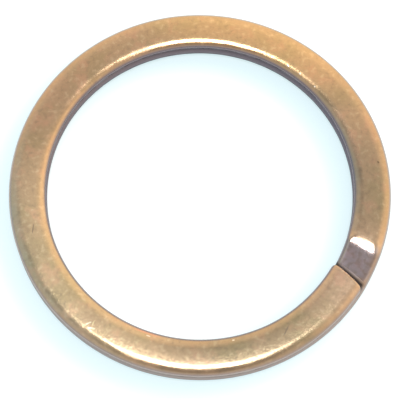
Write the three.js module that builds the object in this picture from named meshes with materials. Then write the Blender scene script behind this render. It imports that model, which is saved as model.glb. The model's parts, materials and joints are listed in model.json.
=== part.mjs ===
import * as THREE from 'three';

// A split key ring: one springy flat wire wound twice round. The two turns lie on each other, a
// short crossover bend carries the wire from the upper turn down to the lower one, and each turn
// has a free end that a thumbnail pries away from the other turn to let a key in.
//
// Millimetres, +Z up. The origin is the centre of the face that the ring lies on.
// A place on the wire is a wire angle in degrees, counted clockwise, seen from above, from the
// middle of the crossover: negative on the upper turn, positive on the lower turn. Turned half
// round about the level line through that middle, the ring looks the same.

// Driving dimensions, in millimetres
const outerDiameter = 32;
const wireWidth = 3.1;
const wireThickness = 1.03;
const outerEdgeWidth = 0.95;
const innerEdgeWidth = 0.7;
const edgeHeight = 0.45;
const turnClearance = 0.045;
const crossoverLength = 3.15;
const crossoverBendLength = 0.62;
const endStandoff = 0.2;
const flexGap = 0.04;

// Driving angles, in degrees
const crossoverAzimuth = -23.25;
const endSkew = 12;
const freeReach = 157.5;

// How many stretches each turn is made in
const freeStretches = 7;
const fixedStretches = 2;

// Fineness of the facets: steps along each shape, degrees between sections, and the length in
// millimetres over which the crossover's slope is measured
const edgeSteps = 3;
const crossoverRampSteps = 4;
const crossoverBendSteps = 3;
const facetAngle = 4.5;
const slopeProbe = 0.04;

// Finishes
const brassTan = 0xbfa27a;
const brassTanLit = 0xc9ad80;
const crossoverBronze = 0x8d7a74;
const satinRoughness = 0.42;
const crossoverRoughness = 0.5;

// Sizes worked out from the driving ones
const midRadius = outerDiameter / 2 - wireWidth / 2;
const turnPitch = wireThickness + turnClearance;
const lowerTurnHeight = wireThickness / 2;
const crossoverHeight = lowerTurnHeight + turnPitch / 2;
const degreesPerMm = 180 / (Math.PI * midRadius);
const crossoverSpan = crossoverLength * degreesPerMm;
const bendSpan = crossoverBendLength * degreesPerMm;
const halfGap = flexGap * degreesPerMm / 2;
const halfProbe = slopeProbe * degreesPerMm / 2;
const crossoverEdge = crossoverSpan / 2;
const freeEnd = 360 - crossoverEdge - endStandoff * degreesPerMm;
const freeRoot = freeEnd - freeReach;

const radians = THREE.MathUtils.degToRad;

/**
 * The wire's cross-section, anticlockwise: x is outwards from the ring's axis, y is up. Its edges
 * are rolled to quarters of an ellipse, and winding has drawn the outer ones wider.
 */
function wireSection() {
  const points = [];
  const cornerY = wireThickness / 2 - edgeHeight;
  const corners = [[1, 1], [-1, 1], [-1, -1], [1, -1]];
  corners.forEach(([sideX, sideY], quarter) => {
    const edgeWidth = sideX > 0 ? outerEdgeWidth : innerEdgeWidth;
    const cornerX = wireWidth / 2 - edgeWidth;
    for (let step = 0; step <= edgeSteps; step += 1) {
      const turn = radians(90 * (quarter + step / edgeSteps));
      const x = sideX * cornerX + edgeWidth * Math.cos(turn);
      const y = sideY * cornerY + edgeHeight * Math.sin(turn);
      points.push(new THREE.Vector2(x, y));
    }
  });
  return points;
}

/** How far the wire has come down at a wire angle: 0 on the upper turn, 1 on the lower turn. */
function descent(wireAngle) {
  const along = THREE.MathUtils.clamp(wireAngle + crossoverEdge, 0, crossoverSpan);
  const left = crossoverSpan - along;
  const rampSpan = crossoverSpan - bendSpan;
  if (along < bendSpan) {
    return along ** 2 / (2 * bendSpan * rampSpan);
  }
  if (left < bendSpan) {
    return 1 - left ** 2 / (2 * bendSpan * rampSpan);
  }
  return (along - bendSpan / 2) / rampSpan;
}

/** The height of the wire's middle over the crossover's middle, at a wire angle. */
function crossoverRise(wireAngle) {
  return turnPitch * (0.5 - descent(wireAngle));
}

/** On a turn, away from the crossover, the wire is level. */
function level() {
  return 0;
}

/**
 * The section's points where it stands across the wire at a wire angle. A skewed cut leans the
 * section along the wire, so that its inner edge comes first (positive) or last (negative).
 */
function sectionAt(wireAngle, rise, skew) {
  const azimuth = radians(-wireAngle);
  const outwards = new THREE.Vector3(Math.cos(azimuth), Math.sin(azimuth), 0);
  const slope = (rise(wireAngle + halfProbe) - rise(wireAngle - halfProbe)) / slopeProbe;
  const onwards = new THREE.Vector3(Math.sin(azimuth), -Math.cos(azimuth), slope).normalize();
  const upwards = new THREE.Vector3().crossVectors(onwards, outwards).negate();
  const middle = outwards.clone().multiplyScalar(midRadius);
  middle.z = rise(wireAngle);
  return wireSection().map(({ x, y }) => middle.clone()
    .addScaledVector(outwards, x)
    .addScaledVector(upwards, y)
    .addScaledVector(onwards, x * Math.tan(radians(skew))));
}

/** A closed stretch of wire between two wire angles, on the azimuth of wire angle 0. */
function wireStretch(from, to, steps, { rise = level, startSkew = 0, finishSkew = 0 } = {}) {
  const skews = new Array(steps + 1).fill(0);
  skews[0] = startSkew;
  skews[steps] = finishSkew;
  const rings = skews.map((skew, step) => {
    const wireAngle = THREE.MathUtils.lerp(from, to, step / steps);
    return sectionAt(wireAngle, rise, skew);
  });
  const around = rings[0].length;
  const corner = (ring, point) => ring * around + (point % around);
  const faces = [];
  for (let ring = 0; ring < steps; ring += 1) {
    for (let point = 0; point < around; point += 1) {
      const [near, nearNext] = [corner(ring, point), corner(ring, point + 1)];
      const [far, farNext] = [corner(ring + 1, point), corner(ring + 1, point + 1)];
      faces.push(near, far, nearNext, nearNext, far, farNext);
    }
  }
  for (let point = 1; point < around - 1; point += 1) {
    faces.push(corner(0, 0), corner(0, point), corner(0, point + 1));
    faces.push(corner(steps, 0), corner(steps, point + 1), corner(steps, point));
  }
  const positions = rings.flat().flatMap((point) => point.toArray());
  const geometry = new THREE.BufferGeometry();
  geometry.setAttribute('position', new THREE.Float32BufferAttribute(positions, 3));
  geometry.setIndex(faces);
  geometry.computeVertexNormals();
  return geometry;
}

/** A named piece of the wire. */
function piece(name, geometry, colour, roughness) {
  const material = new THREE.MeshStandardMaterial({ color: colour, metalness: 1, roughness });
  const mesh = new THREE.Mesh(geometry, material);
  mesh.name = name;
  return mesh;
}

/** A level stretch of one turn, turned to its place. side is -1 on the upper turn, 1 on the lower. */
function turnStretch(name, nearAngle, farAngle, side, tipSkew, colour) {
  const nearCut = nearAngle + halfGap;
  const farCut = tipSkew ? farAngle : farAngle - halfGap;
  const span = farCut - nearCut;
  const steps = Math.ceil(span / facetAngle);
  const skews = side < 0 ? { startSkew: tipSkew } : { finishSkew: -tipSkew };
  const mesh = piece(name, wireStretch(0, span, steps, skews), colour, satinRoughness);
  mesh.rotation.z = radians(side < 0 ? farCut : -nearCut);
  return mesh;
}

/** One whole turn: fixed stretches next to the crossover, then the free stretches to the tip. */
function turn(label, side) {
  const group = new THREE.Group();
  group.position.z = -side * turnPitch / 2;
  const fixedSpan = (freeRoot - crossoverEdge) / fixedStretches;
  for (let number = 1; number <= fixedStretches; number += 1) {
    const far = crossoverEdge + number * fixedSpan;
    const name = `${label}_fixed_quarter_${number}`;
    group.add(turnStretch(name, far - fixedSpan, far, side, 0, brassTan));
  }
  const freeSpan = freeReach / freeStretches;
  for (let number = freeStretches; number >= 1; number -= 1) {
    const far = freeEnd - (number - 1) * freeSpan;
    const tipSkew = number === 1 ? endSkew : 0;
    const name = number === 1 ? `${label}_end_tip` : `${label}_free_stretch_${number}`;
    group.add(turnStretch(name, far - freeSpan, far, side, tipSkew, brassTanLit));
  }
  return group;
}

/** The bend that carries the wire from the upper turn to the lower one, in three pieces. */
function crossover() {
  const group = new THREE.Group();
  const rampEdge = crossoverEdge - bendSpan;
  const cuts = [
    ['crossover_head_bend', -crossoverEdge, -rampEdge, crossoverBendSteps],
    ['crossover_ramp', -rampEdge, rampEdge, crossoverRampSteps],
    ['crossover_foot_bend', rampEdge, crossoverEdge, crossoverBendSteps],
  ];
  for (const [name, from, to, steps] of cuts) {
    const geometry = wireStretch(from + halfGap, to - halfGap, steps, { rise: crossoverRise });
    group.add(piece(name, geometry, crossoverBronze, crossoverRoughness));
  }
  return group;
}

const splitKeyRing = new THREE.Group();
splitKeyRing.name = 'split_key_ring';
splitKeyRing.position.z = crossoverHeight;
splitKeyRing.rotation.z = radians(crossoverAzimuth);
splitKeyRing.add(turn('upper', -1), crossover(), turn('lower', 1));

export default splitKeyRing;
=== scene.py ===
"""The looks of a split key ring: one flat brass wire wound twice round, with a stepped crossover.

Everything is in metres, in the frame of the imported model. A place on the wire is a wire angle,
counted clockwise, seen from above, from the middle of the crossover: it is negative on the upper
turn and positive on the lower turn.
"""

import json
import logging
import math
from dataclasses import dataclass, field
from enum import Enum
from typing import Any, Iterable, Union

import bpy
import numpy as np
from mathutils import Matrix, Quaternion, Vector


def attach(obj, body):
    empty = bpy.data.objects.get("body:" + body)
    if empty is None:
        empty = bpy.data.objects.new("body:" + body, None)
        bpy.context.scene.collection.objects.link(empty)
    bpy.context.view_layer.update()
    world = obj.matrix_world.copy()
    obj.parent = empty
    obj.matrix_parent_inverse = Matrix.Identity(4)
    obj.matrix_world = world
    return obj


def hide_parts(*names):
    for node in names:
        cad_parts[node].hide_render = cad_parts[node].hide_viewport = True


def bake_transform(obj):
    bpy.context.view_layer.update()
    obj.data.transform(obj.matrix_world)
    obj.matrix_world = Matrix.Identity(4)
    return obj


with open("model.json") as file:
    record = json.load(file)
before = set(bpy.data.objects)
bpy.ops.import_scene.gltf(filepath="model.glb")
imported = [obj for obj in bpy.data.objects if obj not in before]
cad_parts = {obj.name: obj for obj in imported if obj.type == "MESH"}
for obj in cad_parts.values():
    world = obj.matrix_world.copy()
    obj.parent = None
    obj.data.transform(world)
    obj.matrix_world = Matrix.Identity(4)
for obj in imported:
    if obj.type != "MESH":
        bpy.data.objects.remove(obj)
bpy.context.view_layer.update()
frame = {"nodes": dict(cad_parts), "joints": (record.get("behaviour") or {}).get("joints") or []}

LOG = logging.getLogger("split_key_ring")
MM = 0.001
NEARLY_NONE = 1e-9
UPPER_FACE = (1.5 * MM, 1.8 * MM)
TURN = 2 * math.pi
FREE_HINGES = sum(joint["child"].startswith("upper_") for joint in frame["joints"])

Colour = tuple[float, float, float]
Socket = bpy.types.NodeSocket
Given = dict[str, Socket]
Plug = Union[Socket, float, int, bool, str, tuple, bpy.types.Material]


class Side(Enum):
    """A turn of the ring. The value is the sign of its wire angles."""

    UPPER = -1
    LOWER = 1

    @property
    def label(self) -> str:
        """The word for this turn in the names of nodes, bodies and pieces."""
        return self.name.lower()


class Slot(Enum):
    """The record's material slots."""

    BRASS = "antique_brass"
    BRONZE = "crossover_bronze"


class Pattern(Enum):
    """The random patterns in the plate: the width of a lump, its finer layers and its seed."""

    CLOUDS = (3.2 * MM, 3.0, 1.0)
    MOTTLE = (1.3 * MM, 3.0, 2.0)
    SPECKLE = (0.42 * MM, 2.0, 3.0)
    GRAIN = (0.17 * MM, 2.0, 4.0)


class Mark(Enum):
    """The attributes that a swept piece keeps, so that its finish stays on it as it bends."""

    ROW = "row"
    SECTION = "section_place"
    REST = "rest_place"
    RUN = "wire_run"
    ACROSS = "across_wire"
    FACING = "section_facing"


# ---------------------------------------------------------------------------------------------
# Building node trees


class Graph:
    """A node tree being built, with one call for each kind of step."""

    def __init__(self, tree: bpy.types.NodeTree) -> None:
        """Take hold of a tree.

        Args:
            tree: The tree that the nodes go into.
        """
        self.tree = tree

    def plug(self, socket: Socket, value: Plug) -> None:
        """Join a socket to another one, or give it a plain value.

        Args:
            socket: The input to fill.
            value: An output socket, or a value of the input's kind.
        """
        if isinstance(value, Socket):
            self.tree.links.new(value, socket)
        else:
            socket.default_value = value

    def node(self, kind: str, inputs: dict[Any, Plug] | None = None, **settings: Any) -> bpy.types.Node:
        """Add a node.

        Args:
            kind: Blender's name for the kind of node.
            inputs: Values or sockets by the input's name or number.
            **settings: Properties set before the inputs are filled.

        Returns:
            The new node.
        """
        made = self.tree.nodes.new(kind)
        for name, value in settings.items():
            setattr(made, name, value)
        for name, value in (inputs or {}).items():
            self.plug(made.inputs[name], value)
        return made

    def math(self, operation: str, *values: Plug) -> Socket:
        """A sum, product or other step on numbers.

        Args:
            operation: The Math node's operation.
            *values: What it works on, in order.

        Returns:
            The result's socket.
        """
        return self.node("ShaderNodeMath", dict(enumerate(values)), operation=operation).outputs[0]

    def plus(self, one: Plug, other: Plug) -> Socket:
        """The sum of two numbers."""
        return self.math("ADD", one, other)

    def minus(self, one: Plug, other: Plug) -> Socket:
        """The first number less the second."""
        return self.math("SUBTRACT", one, other)

    def times(self, one: Plug, other: Plug) -> Socket:
        """The product of two numbers."""
        return self.math("MULTIPLY", one, other)

    def ratio(self, one: Plug, other: Plug) -> Socket:
        """The first number divided by the second."""
        return self.math("DIVIDE", one, other)

    def magnitude(self, value: Plug) -> Socket:
        """A number without its sign."""
        return self.math("ABSOLUTE", value)

    def mix(self, factor: Plug, one: Plug, other: Plug) -> Socket:
        """A number between two: the first at factor 0, the second at factor 1."""
        return self.node("ShaderNodeMix", {0: factor, 2: one, 3: other}, data_type="FLOAT").outputs[0]

    def chain(self, operation: str, values: Iterable[Plug]) -> Socket:
        """One operation over several numbers, such as the sum of all.

        Args:
            operation: The Math node's operation.
            values: The numbers, two or more.

        Returns:
            The result's socket.
        """
        first, *others = values
        for value in others:
            first = self.math(operation, first, value)
        return first

    def vector(self, operation: str, *values: Plug) -> Socket:
        """A step on vectors.

        Args:
            operation: The Vector Math node's operation.
            *values: What it works on; a SCALE takes its factor second.

        Returns:
            The result's socket, a number for DOT_PRODUCT and LENGTH and otherwise a vector.
        """
        keys = [0, "Scale"] if operation == "SCALE" else range(len(values))
        made = self.node("ShaderNodeVectorMath", dict(zip(keys, values)), operation=operation)
        return made.outputs["Value" if operation in ("DOT_PRODUCT", "LENGTH") else "Vector"]

    def combine(self, x: Plug, y: Plug, z: Plug) -> Socket:
        """A vector from its three parts."""
        return self.node("ShaderNodeCombineXYZ", {0: x, 1: y, 2: z}).outputs[0]

    def part(self, vector: Plug, axis: str) -> Socket:
        """The X, Y or Z part of a vector."""
        return self.node("ShaderNodeSeparateXYZ", {0: vector}).outputs[axis]

    def ramp(self, value: Plug, low: Plug, high: Plug, smooth: bool = True) -> Socket:
        """0 below low and 1 above high, rising between them.

        Args:
            value: What is measured.
            low: Where the rise starts.
            high: Where it ends. It may be less than low, and then the rise runs the other way.
            smooth: Whether the rise starts and ends gently.

        Returns:
            The result's socket.
        """
        style = "SMOOTHSTEP" if smooth else "LINEAR"
        inputs = {"Value": value, "From Min": low, "From Max": high}
        return self.node("ShaderNodeMapRange", inputs, interpolation_type=style).outputs["Result"]

    def blend(self, factor: Plug, one: Plug, other: Plug) -> Socket:
        """A colour between two.

        Args:
            factor: 0 for the first, 1 for the second.
            one: The first colour.
            other: The second colour.

        Returns:
            The colour's socket.
        """
        made = self.node("ShaderNodeMix", data_type="RGBA")
        for key, value in ((0, factor), (6, one), (7, other)):
            self.plug(made.inputs[key], (*value, 1.0) if isinstance(value, tuple) else value)
        return made.outputs[2]

    def noise(self, place: Plug, size: float, detail: float = 2.0, seed: Plug = 0.0) -> Socket:
        """Soft random variation between 0 and 1, about a half on average.

        Args:
            place: Where it is read, in metres.
            size: The width of one lump in metres.
            detail: How many finer layers lie on it.
            seed: Which of all such patterns it is.

        Returns:
            The result's socket.
        """
        inputs = {"Vector": place, "Scale": 1 / size, "Detail": detail, "W": seed}
        return self.node("ShaderNodeTexNoise", inputs, noise_dimensions="4D").outputs[0]


# ---------------------------------------------------------------------------------------------
# The wire


def node_places(name: str) -> np.ndarray:
    """The vertices of a CAD node, one row each."""
    return np.array([vertex.co for vertex in frame["nodes"][name].data.vertices])


@dataclass(frozen=True)
class Wire:
    """The wire's section and the path it follows, read from the frame."""

    mid_radius: float
    width: float
    thickness: float
    pitch: float
    middle_height: float
    crossover_azimuth: float
    crossover_edge: float
    free_end: float
    flex_step: float

    @classmethod
    def from_frame(cls) -> "Wire":
        """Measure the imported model.

        Returns:
            The wire of that model.
        """
        middle = node_places("crossover_ramp").mean(axis=0)
        azimuth = math.atan2(middle[1], middle[0])
        upper, lower = (node_places(f"{side.label}_fixed_quarter_1") for side in Side)
        radii = np.hypot(lower[:, 0], lower[:, 1])
        angles = (azimuth - np.arctan2(lower[:, 1], lower[:, 0])) % TURN
        foot = node_places("crossover_foot_bend")
        foot_angles = azimuth - np.arctan2(foot[:, 1], foot[:, 0])
        hinges = [
            (azimuth - math.atan2(spot[1], spot[0])) % TURN
            for spot in (hinge_place(Side.LOWER, number) for number in (1, 2))
        ]
        step = hinges[0] - hinges[1]
        return cls(
            mid_radius=(radii.max() + radii.min()) / 2,
            width=radii.max() - radii.min(),
            thickness=np.ptp(lower[:, 2]),
            pitch=upper[:, 2].mean() - lower[:, 2].mean(),
            middle_height=middle[2],
            crossover_azimuth=azimuth,
            crossover_edge=(angles.min() + foot_angles.max()) / 2,
            free_end=hinges[0] + step,
            flex_step=step,
        )

    def hinge(self, number: int) -> float:
        """The wire angle, without its sign, of a free end's hinge, counted from the tip."""
        return self.free_end - number * self.flex_step

    def point(self, angle: float) -> Vector:
        """The middle of the wire at a wire angle on one of the turns."""
        azimuth = self.crossover_azimuth - angle
        height = self.middle_height - math.copysign(self.pitch / 2, angle)
        return Vector((self.mid_radius * math.cos(azimuth), self.mid_radius * math.sin(azimuth), height))


def body_name(side: Side, number: int) -> str:
    """The body that hinge `number` of a free end moves; the tip's hinge is number 1."""
    return f"{side.label}_tip" if number == 1 else f"{side.label}_stretch_{number}"


def hinge_place(side: Side, number: int) -> Vector:
    """Where hinge `number` of a free end stands."""
    found = [joint for joint in frame["joints"] if joint["child"] == body_name(side, number)]
    return Vector(found[0]["pos_m"])


@dataclass(frozen=True)
class Shaping:
    """What the press, the shears and use have done to the wire.

    Attributes:
        pressed_edges: The share of the inner edge's width that the crossover's press took off.
        bend_arch: How much earlier the head bend starts at mid wire than at its edges.
        arch_middle: Where across the wire it starts as early as a straight bend, as a squared share.
        end_reach: How far from a cut end its skew fades out.
        tuck_reach: How far from the upper tip its being tucked inwards fades out.
    """

    outer_edge_width: float = 0.95 * MM
    inner_edge_width: float = 0.85 * MM
    edge_height: float = 0.40 * MM
    face_crown: float = 0.08 * MM
    pressed_edges: float = 0.55
    head_bend: float = 0.80 * MM
    foot_bend: float = 0.26 * MM
    bend_skew: float = math.radians(8)
    bend_arch: float = 0.80 * MM
    arch_middle: float = 0.47
    end_skew: float = math.radians(12)
    end_corner: float = 0.34 * MM
    end_rounding: float = 0.12 * MM
    end_reach: float = 2.6 * MM
    end_tuck: float = 0.12 * MM
    tuck_reach: float = 9.0 * MM
    face_wave: float = 0.0035 * MM
    edge_wear: float = 0.012 * MM


@dataclass(frozen=True)
class Fineness:
    """How fine the swept meshes are."""

    row_spacing: float = 0.13 * MM
    around: int = 120
    edge_steps: int = 14
    cut_rows: int = 4


class WireSweep:
    """The Geometry Nodes tree that sweeps the wire's section along its path."""

    SEED = 7
    WAVE_LENGTH = 2.4 * MM
    WEAR_LENGTH = 0.9 * MM
    PRESSED_REACH = (1.35, 0.75)

    def __init__(self, wire: Wire, shaping: Shaping, fineness: Fineness) -> None:
        """Build the tree.

        Args:
            wire: The wire's section and path.
            shaping: The forms that the wire has been given.
            fineness: How fine the mesh is.
        """
        self.wire = wire
        self.shaping = shaping
        self.fineness = fineness
        self.tree = bpy.data.node_groups.new("wire_sweep", "GeometryNodeTree")
        self.graph = Graph(self.tree)
        measures = {**vars(wire), **vars(shaping)}
        del measures["flex_step"]
        self.sizes = {name.replace("_", " ").title(): size for name, size in measures.items()}
        self.counts = {
            "Around": fineness.around,
            "Edge Steps": fineness.edge_steps,
            "Cut Steps": fineness.cut_rows,
            "Seed": self.SEED,
        }
        self.identifiers = self._sockets()
        self._wire_up()

    def _sockets(self) -> dict[str, str]:
        """Give the tree its named inputs and its output.

        Returns:
            Each input's identifier by its name.
        """
        face = self.tree.interface
        face.new_socket("Geometry", in_out="OUTPUT", socket_type="NodeSocketGeometry")
        floats = ["Start Angle", "Finish Angle", *self.sizes]
        whole = ["Rows", "Start Cut Rows", "Finish Cut Rows", *self.counts]
        made = [face.new_socket(name, in_out="INPUT", socket_type="NodeSocketFloat") for name in floats]
        made += [face.new_socket(name, in_out="INPUT", socket_type="NodeSocketInt") for name in whole]
        made.append(face.new_socket("Material", in_out="INPUT", socket_type="NodeSocketMaterial"))
        return {socket.name: socket.identifier for socket in made}

    def _store(self, geometry: Plug, mark: Mark, value: Plug, kind: str) -> Socket:
        """Keep a value on the points as an attribute.

        Args:
            geometry: The geometry that gets it.
            mark: Which attribute it is.
            value: The value's socket.
            kind: FLOAT or FLOAT_VECTOR.

        Returns:
            The geometry with the attribute.
        """
        made = self.graph.node("GeometryNodeStoreNamedAttribute", {"Name": mark.value}, data_type=kind)
        self.graph.plug(made.inputs["Geometry"], geometry)
        self.graph.plug(made.inputs["Value"], value)
        return made.outputs["Geometry"]

    def _read(self, mark: Mark, kind: str) -> Socket:
        """Read an attribute that was kept.

        Args:
            mark: Which attribute it is.
            kind: FLOAT or FLOAT_VECTOR.

        Returns:
            The value's socket.
        """
        made = self.graph.node("GeometryNodeInputNamedAttribute", {"Name": mark.value}, data_type=kind)
        return made.outputs["Attribute"]

    def _tube(self, given: Given) -> Socket:
        """A straight tube with the section's outline and the right number of rows.

        Args:
            given: The tree's inputs by name.

        Returns:
            The tube, whose points know their row and their place in the section.
        """
        graph = self.graph
        rows = graph.chain("ADD", (given["Rows"], given["Start Cut Rows"], given["Finish Cut Rows"]))
        line = graph.node("GeometryNodeCurvePrimitiveLine").outputs["Curve"]
        rail = graph.node("GeometryNodeResampleCurve", {"Curve": line, "Count": rows}, mode="COUNT")
        index = graph.node("GeometryNodeInputIndex").outputs[0]
        rail_curve = self._store(rail.outputs["Curve"], Mark.ROW, index, "FLOAT")
        band = graph.times(self._half_band(given, given["Inner Edge Width"]), 2)
        width = graph.math("MULTIPLY_ADD", given["Edge Height"], 2, band)
        sides = {"Width": width, "Height": given["Thickness"]}
        corners = graph.node("GeometryNodeCurvePrimitiveQuadrilateral", sides, mode="RECTANGLE")
        rounding = {"Curve": corners.outputs["Curve"], "Count": given["Edge Steps"],
                    "Radius": given["Edge Height"]}
        outline = graph.node("GeometryNodeFilletCurve", rounding, mode="POLY").outputs["Curve"]
        evened = graph.node("GeometryNodeResampleCurve", {"Curve": outline, "Count": given["Around"]},
                            mode="COUNT")
        place = graph.node("GeometryNodeInputPosition").outputs[0]
        section = self._store(evened.outputs["Curve"], Mark.SECTION, place, "FLOAT_VECTOR")
        tube = {"Curve": rail_curve, "Profile Curve": section, "Fill Caps": True}
        # The section stands with its Y axis downwards, which leaves the tube inside out
        mesh = graph.node("GeometryNodeCurveToMesh", tube).outputs["Mesh"]
        return graph.node("GeometryNodeFlipFaces", {"Mesh": mesh}).outputs["Mesh"]

    def _half_band(self, given: Given, inner: Plug) -> Socket:
        """Half the width that the outer and the inner rounded edges leave flat."""
        edges = self.graph.plus(given["Outer Edge Width"], inner)
        return self.graph.times(self.graph.minus(given["Width"], edges), 0.5)

    def _section(self, given: Given, angle: Plug) -> tuple[Socket, ...]:
        """The outline's place and its outward normal, both across and down the section.

        The edges are quarters of an ellipse, narrower where the crossover was pressed.

        Args:
            given: The tree's inputs by name.
            angle: The row's wire angle.

        Returns:
            Sockets for across, down, the normal across and the normal down.
        """
        graph = self.graph
        place = self._read(Mark.SECTION, "FLOAT_VECTOR")
        outer, inner, rise = (given[name] for name in ("Outer Edge Width", "Inner Edge Width",
                                                            "Edge Height"))
        band = self._half_band(given, inner)
        reach = graph.times(given["Crossover Length"], 0.5)
        away = graph.ratio(graph.times(graph.magnitude(angle), given["Mid Radius"]), reach)
        pressed = graph.times(graph.ramp(away, *self.PRESSED_REACH), given["Pressed Edges"])
        inner = graph.times(inner, graph.minus(1, pressed))
        flat = self._half_band(given, inner)
        wall = graph.math("MULTIPLY_ADD", given["Thickness"], 0.5, graph.times(rise, -1))
        cores, beyond = [], []
        for axis, half in (("X", band), ("Y", wall)):
            part = graph.part(place, axis)
            core = graph.math("MINIMUM", graph.math("MAXIMUM", part, graph.times(half, -1)), half)
            cores.append(core)
            beyond.append(graph.minus(part, core))
        outside = graph.math("GREATER_THAN", beyond[0], 0)
        width = graph.math("MULTIPLY_ADD", outside, graph.minus(outer, inner), inner)
        stretched = graph.ratio(width, rise)
        middle = graph.times(graph.minus(inner, outer), 0.5)
        spread = graph.math("MULTIPLY_ADD", cores[0], graph.ratio(flat, band), middle)
        across = graph.math("MULTIPLY_ADD", beyond[0], stretched, spread)
        on_edge = graph.combine(graph.ratio(beyond[0], stretched), beyond[1], 0)
        on_edge = graph.vector("NORMALIZE", on_edge)
        share = graph.ratio(across, graph.times(given["Width"], 0.5))
        crown = graph.times(given["Face Crown"], graph.math("POWER", share, 2))
        flat_down = graph.plus(cores[1], beyond[1])
        sunk = graph.times(graph.math("SIGN", flat_down), -1)
        down = graph.math("MULTIPLY_ADD", crown, sunk, flat_down)
        steepness = graph.ratio(crown, graph.math("MAXIMUM", graph.magnitude(across), NEARLY_NONE))
        tilt = graph.times(steepness, graph.times(graph.math("SIGN", across), 2))
        facing_down = graph.part(on_edge, "Y")
        facing = graph.math("MULTIPLY_ADD", tilt, graph.magnitude(facing_down), graph.part(on_edge, "X"))
        normal = graph.vector("NORMALIZE", graph.combine(facing, facing_down, 0))
        return across, down, graph.part(normal, "X"), graph.part(normal, "Y")

    def _rows(self, given: Given) -> tuple[Socket, ...]:
        """The wire angle of a row, and how far the rounding of a cut end has drawn it in.

        Args:
            given: The tree's inputs by name.

        Returns:
            Sockets for the wire angle and the inset.
        """
        graph = self.graph
        row = graph.minus(self._read(Mark.ROW, "FLOAT"), given["Start Cut Rows"])
        last = graph.minus(given["Rows"], 1)
        share = graph.ramp(row, 0.0, last, smooth=False)
        span = graph.minus(given["Finish Angle"], given["Start Angle"])
        angle = graph.math("MULTIPLY_ADD", share, span, given["Start Angle"])
        before = graph.math("MAXIMUM", graph.times(row, -1), 0)
        after = graph.math("MAXIMUM", graph.minus(row, last), 0)
        rounding = given["End Rounding"]
        inset: Plug = 0.0
        for beyond, way in ((before, -1), (after, 1)):
            lean = graph.times(graph.ratio(beyond, given["Cut Steps"]), math.pi / 2)
            ahead = graph.times(graph.math("SINE", lean), rounding)
            turned = graph.ratio(ahead, given["Mid Radius"])
            angle = graph.math("MULTIPLY_ADD", turned, way, angle)
            drawn = graph.minus(1, graph.math("COSINE", lean))
            inset = graph.math("MULTIPLY_ADD", drawn, rounding, inset)
        return angle, inset

    def _cut_shift(self, given: Given, angle: Plug, across: Plug) -> Plug:
        """How far the skewed cut and its round corners move a point along the wire, as an angle.

        Args:
            given: The tree's inputs by name.
            angle: The point's wire angle.
            across: Its place across the wire.

        Returns:
            The angle's socket.
        """
        graph = self.graph
        left = graph.minus(given["Free End"], graph.magnitude(angle))
        near = graph.ramp(graph.times(left, given["Mid Radius"]), given["End Reach"], 0.0)
        lean = graph.times(across, graph.math("TANGENT", given["End Skew"]))
        corner = given["End Corner"]
        side = graph.minus(graph.times(given["Width"], 0.5), corner)
        over = graph.math("MAXIMUM", graph.minus(graph.magnitude(across), side), 0)
        squares = graph.minus(graph.times(corner, corner), graph.times(over, over))
        drop = graph.minus(corner, graph.math("SQRT", graph.math("MAXIMUM", squares, 0)))
        back = graph.times(graph.plus(lean, drop), near)
        turned = graph.ratio(back, given["Mid Radius"])
        return graph.times(turned, graph.times(graph.math("SIGN", angle), -1))

    def _descent(self, given: Given, run: Plug, across: Plug) -> tuple[Plug, Plug]:
        """The wire's height over the crossover's middle, and how steeply it comes down.

        The bends are parabolas with a straight ramp between. They lean across the wire, and the
        first one starts earlier in the wire's middle than at its edges.

        Args:
            given: The tree's inputs by name.
            run: The length of wire from the crossover's middle.
            across: The place across the wire.

        Returns:
            Sockets for the height and the slope.
        """
        graph = self.graph
        length, head, foot = given["Crossover Length"], given["Head Bend"], given["Foot Bend"]
        passed = graph.math("MULTIPLY_ADD", length, 0.5, run)
        share = graph.ratio(across, graph.times(given["Width"], 0.5))
        bulge = graph.minus(graph.minus(1, given["Arch Middle"]), graph.math("POWER", share, 2))
        early = graph.times(bulge, given["Bend Arch"])
        head_length = graph.plus(head, early)
        leaned = graph.times(across, graph.math("TANGENT", given["Bend Skew"]))
        shifted = graph.minus(passed, leaned)
        before_foot = graph.minus(length, foot)
        straight = graph.minus(before_foot, head)

        def within(start: Plug, most: Plug) -> Socket:
            """How much of a stretch has been passed."""
            past = graph.minus(shifted, start)
            return graph.math("MINIMUM", graph.math("MAXIMUM", past, 0), most)

        def parabola(passed_bend: Plug, bend: Plug) -> Socket:
            """The square of the way through a bend, over twice the bend's length."""
            return graph.ratio(graph.math("POWER", passed_bend, 2), graph.times(bend, 2))

        first = within(graph.times(early, -1), head_length)
        second, third = within(head, straight), within(before_foot, foot)
        easing = graph.minus(third, parabola(third, foot))
        bends = graph.minus(graph.plus(head, foot), early)
        even_length = graph.minus(length, graph.times(bends, 0.5))
        fallen = graph.chain("ADD", (parabola(first, head_length), second, easing))
        fallen = graph.ratio(fallen, even_length)
        height = graph.times(graph.minus(0.5, fallen), given["Pitch"])
        steep = graph.minus(graph.ratio(first, head_length), graph.ratio(third, foot))
        slope = graph.times(graph.ratio(steep, even_length), given["Pitch"])
        return height, slope

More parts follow.
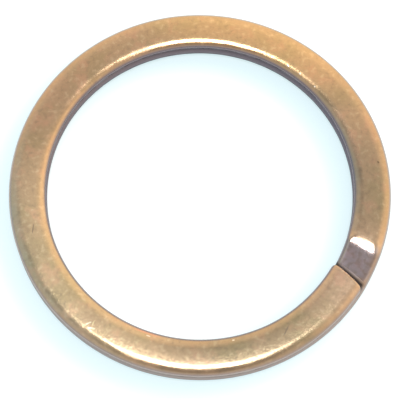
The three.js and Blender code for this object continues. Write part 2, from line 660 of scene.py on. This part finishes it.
    def _wire_up(self) -> None:
        """Join the tree's nodes."""
        graph = self.graph
        entry = graph.node("NodeGroupInput")
        given = {socket.name: socket for socket in entry.outputs if socket.name}
        half_crossover = graph.times(given["Crossover Edge"], given["Mid Radius"])
        given["Crossover Length"] = graph.times(half_crossover, 2)
        tube = self._tube(given)
        row_angle, inset = self._rows(given)
        across, down, facing_out, facing_down = self._section(given, row_angle)
        angle = graph.plus(row_angle, self._cut_shift(given, row_angle, across))
        run = graph.times(angle, given["Mid Radius"])
        height, slope = self._descent(given, run, across)
        azimuth = graph.minus(given["Crossover Azimuth"], angle)
        cosine, sine = graph.math("COSINE", azimuth), graph.math("SINE", azimuth)
        outwards = graph.combine(cosine, sine, 0)
        level = graph.combine(sine, graph.times(cosine, -1), 0)
        falling = graph.combine(0, 0, graph.times(slope, -1))
        onwards = graph.vector("NORMALIZE", graph.vector("ADD", level, falling))
        downwards = graph.vector("CROSS_PRODUCT", outwards, onwards)
        left = graph.minus(given["Free End"], graph.magnitude(angle))
        tucked = graph.ramp(graph.times(left, given["Mid Radius"]), given["Tuck Reach"], 0.0)
        radius = graph.math("MULTIPLY_ADD", graph.times(tucked, given["End Tuck"]), -1,
                            given["Mid Radius"])
        facing = graph.vector("ADD", graph.vector("SCALE", outwards, facing_out),
                              graph.vector("SCALE", downwards, facing_down))
        middle = graph.vector("ADD", graph.vector("SCALE", outwards, graph.plus(radius, across)),
                              graph.combine(0, 0, graph.plus(height, given["Middle Height"])))
        outline = graph.vector("ADD", middle, graph.vector("SCALE", downwards, down))
        rest = graph.vector("SUBTRACT", outline, graph.vector("SCALE", facing, inset))
        relief = self._relief(given, rest, facing_out, facing_down)
        moved = graph.vector("ADD", rest, graph.vector("SCALE", facing, relief))
        marked = self._store(tube, Mark.REST, rest, "FLOAT_VECTOR")
        marked = self._store(marked, Mark.RUN, run, "FLOAT")
        marked = self._store(marked, Mark.ACROSS, across, "FLOAT")
        marked = self._store(marked, Mark.FACING, graph.combine(facing_out, 0, facing_down), "FLOAT_VECTOR")
        placed = graph.node("GeometryNodeSetPosition", {"Geometry": marked, "Position": moved})
        corners = graph.node("GeometryNodeInputMeshFaceNeighbors").outputs["Vertex Count"]
        smooth = graph.node("FunctionNodeCompare", {2: corners, 3: 5}, data_type="INT",
                            operation="LESS_THAN")
        shaded = graph.node("GeometryNodeSetShadeSmooth", {"Geometry": placed.outputs[0],
                                                           "Shade Smooth": smooth.outputs[0]})
        real = graph.node("GeometryNodeRealizeInstances", {"Geometry": shaded.outputs[0]})
        finished = graph.node("GeometryNodeSetMaterial", {"Geometry": real.outputs[0],
                                                          "Material": given["Material"]})
        graph.node("NodeGroupOutput", {"Geometry": finished.outputs[0]})

    def _relief(self, given: Given, rest: Plug, facing_out: Plug, facing_down: Plug) -> Socket:
        """How far the surface stands out of true: slow waves all over, and wear on the edges.

        Args:
            given: The tree's inputs by name.
            rest: The point's true place.
            facing_out: How far the surface faces outwards there.
            facing_down: How far it faces downwards there.

        Returns:
            The distance's socket.
        """
        graph = self.graph
        slow = graph.minus(graph.noise(rest, self.WAVE_LENGTH, 1.0, given["Seed"]), 0.5)
        worn = graph.noise(rest, self.WEAR_LENGTH, 1.0, graph.plus(given["Seed"], 5))
        worn = graph.minus(worn, 0.5)
        both = graph.magnitude(graph.times(facing_out, facing_down))
        on_edge = graph.times(both, 2)
        wave = graph.times(slow, given["Face Wave"])
        wear = graph.times(graph.times(worn, on_edge), given["Edge Wear"])
        return graph.times(graph.plus(wave, wear), 2)

    def stretch(self, name: str, start: float, finish: float, material: bpy.types.Material,
                cut: bool = False) -> bpy.types.Object:
        """Sweep one closed stretch of the wire.

        Args:
            name: The new piece's name.
            start: The wire angle where it starts.
            finish: The wire angle where it finishes, which is the greater one.
            material: The finish that it gets.
            cut: Whether one of its ends is the wire's own cut end.

        Returns:
            The piece, a plain mesh at its place in the frame.
        """
        cut_rows = self.fineness.cut_rows if cut else 0
        rounding = self.shaping.end_rounding / self.wire.mid_radius if cut else 0.0
        at_start = cut and start < 0
        start, finish = (start + rounding, finish) if at_start else (start, finish - rounding)
        length = (finish - start) * self.wire.mid_radius
        values = {
            **self.sizes,
            **self.counts,
            "Start Angle": start,
            "Finish Angle": finish,
            "Rows": 1 + math.ceil(length / self.fineness.row_spacing),
            "Start Cut Rows": cut_rows if at_start else 0,
            "Finish Cut Rows": 0 if at_start else cut_rows,
            "End Tuck": self.shaping.end_tuck if start < 0 else 0.0,
            "Material": material,
        }
        return self._grow(name, values)

    def _grow(self, name: str, values: dict[str, Any]) -> bpy.types.Object:
        """Run the tree once and keep what it makes.

        Args:
            name: The new piece's name.
            values: What each input is set to, by the input's name.

        Returns:
            The piece, a plain mesh with no modifier.
        """
        holder = bpy.data.objects.new("holder", bpy.data.meshes.new("holder"))
        bpy.context.scene.collection.objects.link(holder)
        modifier = holder.modifiers.new("wire_sweep", "NODES")
        modifier.node_group = self.tree
        for key, value in values.items():
            modifier[self.identifiers[key]] = value if key == "Material" else type(value)(value)
        depsgraph = bpy.context.evaluated_depsgraph_get()
        mesh = bpy.data.meshes.new_from_object(
            holder.evaluated_get(depsgraph), preserve_all_data_layers=True, depsgraph=depsgraph)
        holder.modifiers.clear()
        bpy.data.objects.remove(holder)
        mesh.name = name
        piece = bpy.data.objects.new(name, mesh)
        bpy.context.scene.collection.objects.link(piece)
        return piece


# ---------------------------------------------------------------------------------------------
# Finishes


@dataclass(frozen=True)
class Patina:
    """Light or shade painted over one side of the ring, standing in for how the light falls there: where it
    is, its reach and its tint.

    Angles are in degrees. The plate's colour is multiplied by the tint.
    """

    azimuth: float
    half_width: float
    tint: Colour

    def over(self, graph: Graph, outwards: Plug, tint: Plug) -> Socket:
        """Lay it over the tint of the plate round it.

        Args:
            graph: The material's tree.
            outwards: The level direction from the ring's axis.
            tint: What it lies on.

        Returns:
            The new tint's socket.
        """
        turn = math.radians(self.azimuth)
        close = graph.vector("DOT_PRODUCT", outwards, (math.cos(turn), math.sin(turn), 0))
        return graph.blend(graph.ramp(close, math.cos(math.radians(self.half_width)), 1), tint, self.tint)


@dataclass(frozen=True)
class Nick:
    """A small scratch or spot on the upper face, or a highlight painted there as a bright dot: where it is,
    how large, and the tone it shows.

    Angles are in degrees. The lean is measured from the way that the wire runs.
    """

    azimuth: float
    radius: float
    half_length: float
    half_width: float
    lean: float
    tone: Colour

    def cover(self, graph: Graph, rest: Plug) -> Socket:
        """Where the nick or painted highlight lies.

        Args:
            graph: The material's tree.
            rest: The place on the unbent ring.

        Returns:
            A socket that is 1 on the nick and 0 elsewhere.
        """
        turn, run = math.radians(self.azimuth), math.radians(self.azimuth + 90 + self.lean)
        centre = Vector((self.radius * math.cos(turn), self.radius * math.sin(turn), 0))
        cover = graph.ramp(graph.part(rest, "Z"), *UPPER_FACE)
        for way, half in ((run, self.half_length), (run + math.pi / 2, self.half_width)):
            axis = Vector((math.cos(way), math.sin(way), 0))
            along = graph.minus(graph.vector("DOT_PRODUCT", rest, tuple(axis)), axis.dot(centre))
            cover = graph.times(cover, graph.ramp(graph.magnitude(along), half, half * 0.4))
        return cover


@dataclass(frozen=True)
class Layer:
    """A colour that shows more as a pattern goes from one value to another."""

    pattern: Pattern
    start: float
    full: float
    strength: float
    colour: Colour

    def over(self, graph: Graph, patterns: dict[Pattern, Plug], colour: Plug) -> Socket:
        """Lay it over a colour.

        Args:
            graph: The material's tree.
            patterns: The sockets of the patterns.
            colour: What it lies on.

        Returns:
            The new colour's socket.
        """
        shown = graph.ramp(patterns[self.pattern], self.start, self.full)
        return graph.blend(graph.times(shown, self.strength), colour, self.colour)


@dataclass(frozen=True)
class AgedBrass:
    """Antique brass plate: mottled and satin on the flats, coppery on worn edges, dark on the walls; with
    painted light and shade round the ring, painted shade between the turns and under the tip, and painted
    highlights.
    """

    name: str
    tan: Colour = (0.50, 0.34, 0.20)
    layers: tuple[Layer, ...] = (
        Layer(Pattern.CLOUDS, 0.42, 0.66, 0.6, (0.42, 0.32, 0.17)),
        Layer(Pattern.MOTTLE, 0.50, 0.68, 0.6, (0.56, 0.33, 0.20)),
        Layer(Pattern.SPECKLE, 0.52, 0.72, 0.5, (0.34, 0.24, 0.15)),
        Layer(Pattern.SPECKLE, 0.48, 0.28, 0.5, (0.66, 0.49, 0.30)),
    )
    edge: Colour = (0.60, 0.39, 0.22)
    outer_wall: Colour = (0.42, 0.36, 0.335)
    inner_wall: Colour = (0.235, 0.205, 0.225)
    plum: Colour = (0.50, 0.43, 0.435)
    plum_layers: tuple[Layer, ...] = (
        Layer(Pattern.MOTTLE, 0.42, 0.66, 1.0, (0.60, 0.46, 0.46)),
        Layer(Pattern.SPECKLE, 0.45, 0.65, 0.35, (0.34, 0.24, 0.15)),
    )
    # Painted shade in the corner between the crossover's foot and the tip over it: its colour, reach and
    # roughness.
    grime: Colour = (0.035, 0.027, 0.024)
    tip_lean: float = math.radians(12)
    grime_start: tuple[float, float] = (-0.66 * MM, -0.26 * MM)
    grime_finish: tuple[float, float] = (0.9 * MM, 0.5 * MM)
    grime_inset: tuple[float, float] = (0.05 * MM, 0.40 * MM)
    roughness: float = 0.23
    mottled_roughness: float = 0.14
    burnished: float = 0.15
    seam_roughness: float = 0.5
    grime_roughness: float = 0.9
    grain_strength: float = 0.45
    grain_depth: float = 0.014 * MM
    plum_cover: float = 0.9
    nick_cover: float = 0.85
    edge_cover: float = 0.45
    wall_cover: float = 0.95
    nicks: tuple[Nick, ...] = (
        Nick(235.0, 14.95 * MM, 0.42 * MM, 0.075 * MM, 24, (1.0, 0.95, 0.70)),
        Nick(233.4, 14.78 * MM, 0.36 * MM, 0.075 * MM, 62, (1.0, 0.95, 0.70)),
        Nick(234.6, 14.52 * MM, 0.26 * MM, 0.05 * MM, 100, (0.95, 0.84, 0.50)),
        Nick(252.0, 13.12 * MM, 1.40 * MM, 0.15 * MM, 0, (0.86, 0.42, 0.30)),
        Nick(253.0, 13.36 * MM, 0.22 * MM, 0.07 * MM, 0, (1.0, 0.93, 0.80)),
        Nick(283.0, 13.30 * MM, 0.13 * MM, 0.08 * MM, 0, (1.0, 0.95, 0.80)),
        # Painted highlights: bright dots standing in for glints off small dents along the far inner edge.
        Nick(63.6, 13.42 * MM, 0.15 * MM, 0.09 * MM, 0, (1.0, 1.0, 0.92)),
        Nick(57.0, 13.41 * MM, 0.14 * MM, 0.09 * MM, 0, (1.0, 1.0, 0.92)),
        Nick(51.8, 13.42 * MM, 0.11 * MM, 0.08 * MM, 0, (1.0, 0.96, 0.85)),
        Nick(44.4, 13.41 * MM, 0.10 * MM, 0.07 * MM, 0, (1.0, 0.94, 0.80)),
        Nick(10.0, 15.15 * MM, 0.14 * MM, 0.09 * MM, 30, (0.16, 0.11, 0.07)),
        Nick(301.0, 14.10 * MM, 0.55 * MM, 0.07 * MM, 35, (0.26, 0.20, 0.15)),
        Nick(196.0, 14.30 * MM, 0.50 * MM, 0.06 * MM, -20, (0.28, 0.21, 0.15)),
    )
    tint: Colour = (1.0, 1.0, 1.05)
    # Painted light and shade: each tint lightens or darkens one side of the ring to stand in for the light
    # there.
    patinas: tuple[Patina, ...] = (
        Patina(-140, 65, (1.3, 1.4, 1.5)),
        Patina(-65, 45, (0.8, 0.9, 1.0)),
        Patina(0, 28, (0.75, 0.8, 0.9)),
        Patina(-30, 22, (1.05, 1.1, 1.3)),
        Patina(72, 42, (1.35, 1.27, 1.12)),
        Patina(145, 30, (0.95, 0.93, 1.0)),
    )

    def _tint(self, graph: Graph, rest: Plug) -> Socket:
        """The tint of the plate, which changes slowly round the ring: painted light and shade on its sides.

        Args:
            graph: The material's tree.
            rest: The place on the unbent ring.

        Returns:
            The tint's socket.
        """
        outwards = graph.vector("NORMALIZE", graph.vector("MULTIPLY", rest, (1, 1, 0)))
        tint: Plug = self.tint
        for side_shading in self.patinas:
            tint = side_shading.over(graph, outwards, tint)
        return tint

    def _crevice(self, graph: Graph, wire: Wire, run: Plug, facing_down: Plug) -> Socket:
        """Where shade is painted into the narrow corner between the crossover's foot and the tip over it.

        Args:
            graph: The material's tree.
            wire: The wire that it is made for.
            run: The length of wire from the crossover's middle.
            facing_down: How far the section's surface faces the under side.

        Returns:
            A socket that is 1 in the corner and 0 elsewhere.
        """
        across = graph.node("ShaderNodeAttribute", attribute_name=Mark.ACROSS.value).outputs["Fac"]
        half = wire.crossover_edge * wire.mid_radius
        foot = graph.times(run, graph.math("SIGN", graph.times(facing_down, -1)))
        foot = graph.math("MULTIPLY_ADD", across, -math.tan(self.tip_lean), foot)
        started = graph.ramp(foot, *(half + place for place in self.grime_start))
        ended = graph.ramp(foot, *(half + place for place in self.grime_finish))
        inside = graph.ramp(across, *(wire.width / 2 - inset for inset in self.grime_inset))
        return graph.chain("MULTIPLY", (started, ended, inside))

    def _plate(self, graph: Graph, rest: Plug, bent: Plug, patterns: dict[Pattern, Plug]) -> Socket:
        """The colour of the flats, with painted light and shade round the ring and painted highlights.

        Args:
            graph: The material's tree.
            rest: The place on the unbent ring.
            bent: 1 on the flats of the crossover and 0 on the turns.
            patterns: The sockets of the patterns.

        Returns:
            The colour's socket.
        """
        colour: Plug = self.tan
        for layer in self.layers:
            colour = layer.over(graph, patterns, colour)
        # Painted light and shade round the ring.
        colour = graph.vector("MULTIPLY", colour, self._tint(graph, rest))
        plum: Plug = self.plum
        for layer in self.plum_layers:
            plum = layer.over(graph, patterns, plum)
        colour = graph.blend(graph.times(bent, self.plum_cover), colour, plum)
        for nick_or_glint in self.nicks:
            cover = graph.times(nick_or_glint.cover(graph, rest), self.nick_cover)
            colour = graph.blend(cover, colour, nick_or_glint.tone)
        return colour

    def material(self, wire: Wire) -> bpy.types.Material:
        """Build the finish.

        Args:
            wire: The wire that it is made for.

        Returns:
            The material.
        """
        made = bpy.data.materials.new(self.name)
        made.use_nodes = True
        made.node_tree.nodes.clear()
        graph = Graph(made.node_tree)
        rest = graph.node("ShaderNodeAttribute", attribute_name=Mark.REST.value).outputs["Vector"]
        run = graph.node("ShaderNodeAttribute", attribute_name=Mark.RUN.value).outputs["Fac"]
        facing = graph.node("ShaderNodeAttribute", attribute_name=Mark.FACING.value).outputs["Vector"]
        out, up = (graph.magnitude(graph.part(facing, axis)) for axis in ("X", "Z"))
        patterns = {pattern: graph.noise(rest, *pattern.value) for pattern in Pattern}
        mottle = patterns[Pattern.MOTTLE]
        half = wire.crossover_edge * wire.mid_radius
        distance = graph.magnitude(run)

        bent = graph.times(graph.ramp(distance, half, half * 0.62), graph.ramp(up, 0.8, 0.98))
        colour = self._plate(graph, rest, bent, patterns)
        edge = graph.times(graph.times(out, up), 2)
        worn = graph.times(graph.ramp(edge, 0.15, 0.8), graph.ramp(mottle, 0.2, 0.55))
        colour = graph.blend(graph.times(worn, self.edge_cover), colour, self.edge)
        outer = graph.ramp(graph.part(facing, "X"), -0.1, 0.1)
        wall = graph.blend(outer, self.inner_wall, self.outer_wall)
        on_wall = graph.times(graph.ramp(out, 0.42, 0.78), self.wall_cover)
        colour = graph.blend(on_wall, colour, wall)
        # Painted shade in the groove between the two turns: the walls' dark colour, and duller.
        from_seam = graph.magnitude(graph.minus(graph.part(rest, "Z"), wire.middle_height))
        on_turn = graph.ramp(distance, half, half * 1.2)
        seam_shade = graph.times(graph.ramp(from_seam, 0.80 * MM, 0.40 * MM), on_turn)
        colour = graph.blend(seam_shade, colour, wall)
        # Painted shade, dark and unmetallic, in the corner between the crossover's foot and the tip over
        # it.
        corner_shade = self._crevice(graph, wire, run, graph.part(facing, "Z"))
        colour = graph.blend(corner_shade, colour, self.grime)

        uneven = graph.minus(mottle, 0.5)
        rough = graph.math("MULTIPLY_ADD", uneven, self.mottled_roughness, self.roughness)
        rubbed = graph.times(graph.ramp(edge, 0.0, 0.5), graph.ramp(mottle, 0.58, 0.40))
        near = graph.math("MAXIMUM", rubbed, graph.ramp(distance, half * 1.25, half * 0.9))
        rough = graph.mix(near, rough, self.burnished)
        rough = graph.mix(seam_shade, rough, self.seam_roughness)
        rough = graph.mix(corner_shade, rough, self.grime_roughness)
        bump = graph.node("ShaderNodeBump", {
            "Height": patterns[Pattern.GRAIN], "Strength": self.grain_strength,
            "Distance": self.grain_depth})
        # Metallic is taken off where shade is painted in the corner under the tip, so that no reflection
        # shows there.
        shader = graph.node("ShaderNodeBsdfPrincipled", {
            "Base Color": colour, "Metallic": graph.minus(1, corner_shade), "Roughness": rough,
            "Normal": bump.outputs[0]})
        graph.node("ShaderNodeOutputMaterial", {"Surface": shader.outputs[0]})
        return made


# ---------------------------------------------------------------------------------------------
# Sub-assemblies


@dataclass
class FixedTurn:
    """The part of a turn that stays with the crossover when a free end is pried."""

    side: Side
    wire: Wire
    pieces: list[bpy.types.Object] = field(default_factory=list)

    def build(self, sweep: WireSweep, material: bpy.types.Material) -> None:
        """Make the piece and ride it on the root.

        Args:
            sweep: What sweeps the wire.
            material: The finish.
        """
        near, far = self.wire.crossover_edge, self.wire.hinge(FREE_HINGES) - self.wire.flex_step / 2
        start, finish = sorted((self.side.value * near, self.side.value * far))
        piece = sweep.stretch(f"{self.side.label}_fixed_half", start, finish, material)
        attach(piece, "root")
        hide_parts(*(f"{self.side.label}_fixed_quarter_{number}" for number in (1, 2)))
        self.pieces.append(piece)


@dataclass
class Crossover:
    """The stepped bend between the two turns."""

    wire: Wire
    pieces: list[bpy.types.Object] = field(default_factory=list)

    def build(self, sweep: WireSweep, material: bpy.types.Material) -> None:
        """Make the piece and ride it on the root.

        Args:
            sweep: What sweeps the wire.
            material: The finish.
        """
        edge = self.wire.crossover_edge
        piece = sweep.stretch("crossover_step", -edge, edge, material)
        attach(piece, "root")
        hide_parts("crossover_head_bend", "crossover_ramp", "crossover_foot_bend")
        self.pieces.append(piece)


@dataclass
class FreeEnd:
    """The end of a turn that lifts: one piece over each hinge."""

    side: Side
    wire: Wire
    bending_share: float = 0.84
    pieces: list[bpy.types.Object] = field(default_factory=list)

    def build(self, sweep: WireSweep, material: bpy.types.Material) -> None:
        """Make the pieces, from the root to the tip.

        Args:
            sweep: What sweeps the wire.
            material: The finish.
        """
        for number in range(FREE_HINGES, 0, -1):
            self.pieces.append(self._piece(number, sweep, material))

    def _piece(self, number: int, sweep: WireSweep, material: bpy.types.Material) -> bpy.types.Object:
        """Make the piece over one hinge.

        Args:
            number: The hinge, counted from the tip.
            sweep: What sweeps the wire.
            material: The finish.

        Returns:
            The piece.
        """
        label, sign = self.side.label, self.side.value
        hinge, step = self.wire.hinge(number), self.wire.flex_step
        near = hinge - step / 2
        far = self.wire.free_end if number == 1 else hinge + step / 2
        start, finish = sorted((sign * near, sign * far))
        name = f"{label}_cut_tip" if number == 1 else f"{label}_spring_{number}"
        piece = sweep.stretch(name, start, finish, material, cut=number == 1)
        reach = self.bending_share * step / 2
        self.wire.point(sign * (hinge - reach))
        self.wire.point(sign * (hinge + reach))
        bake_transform(piece)
        node = f"{label}_end_tip" if number == 1 else f"{label}_free_stretch_{number}"
        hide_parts(node)
        return piece


# ---------------------------------------------------------------------------------------------
# Studio


@dataclass(frozen=True)
class Lamp:
    """A soft light, wide and high as seen from the ring, that shines at it from a direction."""

    name: str
    azimuth: float
    elevation: float
    half_width: float
    half_height: float
    power: float
    colour: Colour = (1.0, 1.0, 1.0)
    distance: float = 0.8

    def build(self, target: Vector) -> None:
        """Hang the light.

        Args:
            target: What it looks at.
        """
        data = bpy.data.lights.new(self.name, "AREA")
        data.shape = "RECTANGLE"
        data.size = 2 * self.distance * math.tan(math.radians(self.half_width))
        data.size_y = 2 * self.distance * math.tan(math.radians(self.half_height))
        data.energy = self.power
        data.color = self.colour
        lamp = bpy.data.objects.new(self.name, data)
        turn, rise = math.radians(self.azimuth), math.radians(self.elevation)
        towards = Vector((math.cos(turn) * math.cos(rise), math.sin(turn) * math.cos(rise), math.sin(rise)))
        lamp.location = target + towards * self.distance
        lamp.rotation_euler = towards.to_track_quat("Z", "Y").to_euler()
        bpy.context.scene.collection.objects.link(lamp)


@dataclass(frozen=True)
class Studio:
    """A pale, glowing floor with a painted shadow round the ring, soft light and the camera."""

    camera_distance: float = 133.0 * MM
    camera_elevation: float = math.radians(71.35)
    camera_roll: float = math.radians(1.37)
    camera_drop: float = math.radians(0.308)
    lens_mm: float = 142.2
    sensor_mm: float = 36.0
    floor_half: float = 1.5
    floor_gap: float = 0.01 * MM
    floor_base: Colour = (0.35, 0.37, 0.37)
    floor_shade: Colour = (0.52, 0.66, 0.70)
    floor_glow: Colour = (0.74, 0.78, 0.79)
    shade_radius: float = 14.4 * MM
    shade_offset: tuple[float, float] = (-1.3 * MM, -0.9 * MM)
    left_air: Colour = (0.58, 0.74, 0.88)
    right_air: Colour = (1.55, 1.35, 1.1)
    back_air: Colour = (1.35, 1.2, 1.0)
    front_air: Colour = (0.72, 0.72, 0.76)
    left_cap: Colour = (0.46, 0.50, 0.54)
    right_cap: Colour = (0.94, 0.89, 0.80)
    back_cap: Colour = (1.15, 1.0, 0.84)
    patch: Colour = (0.40, 0.37, 0.38)
    patch_direction: tuple[float, float, float] = (0.0, -0.40, 0.92)
    patch_edge: float = math.radians(28)
    patch_core: float = math.radians(14)
    lamps: tuple[Lamp, ...] = (
        Lamp("overhead", azimuth=-90, elevation=85, half_width=9.5, half_height=9, power=1.9),
    )

    def build(self, target: Vector) -> None:
        """Set up everything round the ring.

        Args:
            target: The middle of the ring.
        """
        self._floor()
        self._air()
        for lamp in self.lamps:
            lamp.build(target)
        self._camera(target)
        bpy.context.scene.view_settings.view_transform = "Standard"

    def _floor(self) -> None:
        """Lay the floor just under the ring: it glows, with a shadow painted as a cooler, dimmer band round
        the ring.
        """
        half = self.floor_half
        mesh = bpy.data.meshes.new("floor")
        corners = ((-half, -half), (half, -half), (half, half), (-half, half))
        spots = [(x, y, -self.floor_gap) for x, y in corners]
        mesh.from_pydata(spots, [], [(0, 1, 2, 3)])
        floor = bpy.data.objects.new("floor", mesh)
        bpy.context.scene.collection.objects.link(floor)
        paint = bpy.data.materials.new("floor_paint")
        paint.use_nodes = True
        paint.node_tree.nodes.clear()
        graph = Graph(paint.node_tree)
        place = graph.node("ShaderNodeTexCoord").outputs["Object"]
        left, near = self.shade_offset
        level = graph.vector("MULTIPLY", graph.vector("ADD", place, (-left, -near, 0)), (1, 1, 0))
        away = graph.magnitude(graph.minus(graph.vector("LENGTH", level), self.shade_radius))
        # Painted shadow: the glow is dimmer and cooler in a band round the ring, set off towards the front
        # left.
        glow_and_painted_shadow = graph.blend(graph.ramp(away, 1.0 * MM, 3.6 * MM), self.floor_shade, self.floor_glow)
        shader = graph.node("ShaderNodeBsdfPrincipled", {
            "Base Color": (*self.floor_base, 1.0), "Roughness": 0.9, "Emission Color": glow_and_painted_shadow,
            "Emission Strength": 1.0})
        graph.node("ShaderNodeOutputMaterial", {"Surface": shader.outputs[0]})
        mesh.materials.append(paint)

    def _air(self) -> None:
        """Light all round: a little warmer and brighter on the right, with a dark patch in front."""
        world = bpy.data.worlds.new("studio_air")
        world.use_nodes = True
        world.node_tree.nodes.clear()
        graph = Graph(world.node_tree)
        towards = graph.node("ShaderNodeTexCoord").outputs["Generated"]
        right, back, high = (graph.part(towards, axis) for axis in "XYZ")
        colour = graph.blend(graph.ramp(right, -0.75, 0.75), self.left_air, self.right_air)
        colour = graph.blend(graph.times(graph.ramp(back, 0.2, 0.8), 0.8), colour, self.back_air)
        colour = graph.blend(graph.times(graph.ramp(back, 0.1, -0.5), 0.75), colour, self.front_air)
        cap = graph.blend(graph.ramp(right, -0.35, 0.35), self.left_cap, self.right_cap)
        cap = graph.blend(graph.ramp(back, 0.24, 0.56), cap, self.back_cap)
        colour = graph.blend(graph.ramp(high, 0.78, 0.94), colour, cap)
        dark = Vector(self.patch_direction).normalized()
        close = graph.vector("DOT_PRODUCT", towards, tuple(dark))
        patch = graph.ramp(close, math.cos(self.patch_edge), math.cos(self.patch_core))
        colour = graph.blend(graph.times(patch, 0.8), colour, self.patch)
        shine = graph.node("ShaderNodeBackground", {"Color": colour, "Strength": 1.0})
        graph.node("ShaderNodeOutputWorld", {"Surface": shine.outputs[0]})
        bpy.context.scene.world = world

    def _camera(self, target: Vector) -> None:
        """Stand the camera in front of the ring, looking down at it.

        Args:
            target: What it stands round.
        """
        data = bpy.data.cameras.new("camera")
        data.lens, data.sensor_width = self.lens_mm, self.sensor_mm
        data.clip_start, data.clip_end = 0.01, 10.0
        camera = bpy.data.objects.new("camera", data)
        rise = self.camera_elevation
        back = Vector((0.0, -math.cos(rise), math.sin(rise)))
        turned = back.to_track_quat("Z", "Y")
        rolled = turned @ Quaternion((0, 0, 1), self.camera_roll)
        camera.rotation_mode = "QUATERNION"
        camera.rotation_quaternion = rolled @ Quaternion((1, 0, 0), -self.camera_drop)
        camera.location = target + back * self.camera_distance
        bpy.context.scene.collection.objects.link(camera)
        bpy.context.scene.camera = camera


def main() -> None:
    """Build the ring and its studio, and report each piece."""
    logging.basicConfig(level=logging.INFO, format="%(name)s: %(message)s")
    wire = Wire.from_frame()
    sweep = WireSweep(wire, Shaping(), Fineness())
    brass = AgedBrass("antique_brass").material(wire)
    bronze = AgedBrass("crossover_bronze").material(wire)
    parts = [FixedTurn(side, wire) for side in Side] + [FreeEnd(side, wire) for side in Side]
    for part in parts:
        part.build(sweep, brass)
    crossover = Crossover(wire)
    crossover.build(sweep, bronze)
    for part in (*parts, crossover):
        for piece in part.pieces:
            LOG.info("%s: %d faces", piece.name, len(piece.data.polygons))
    Studio().build(Vector((0.0, 0.0, wire.middle_height)))


if __name__ == "__main__":
    main()
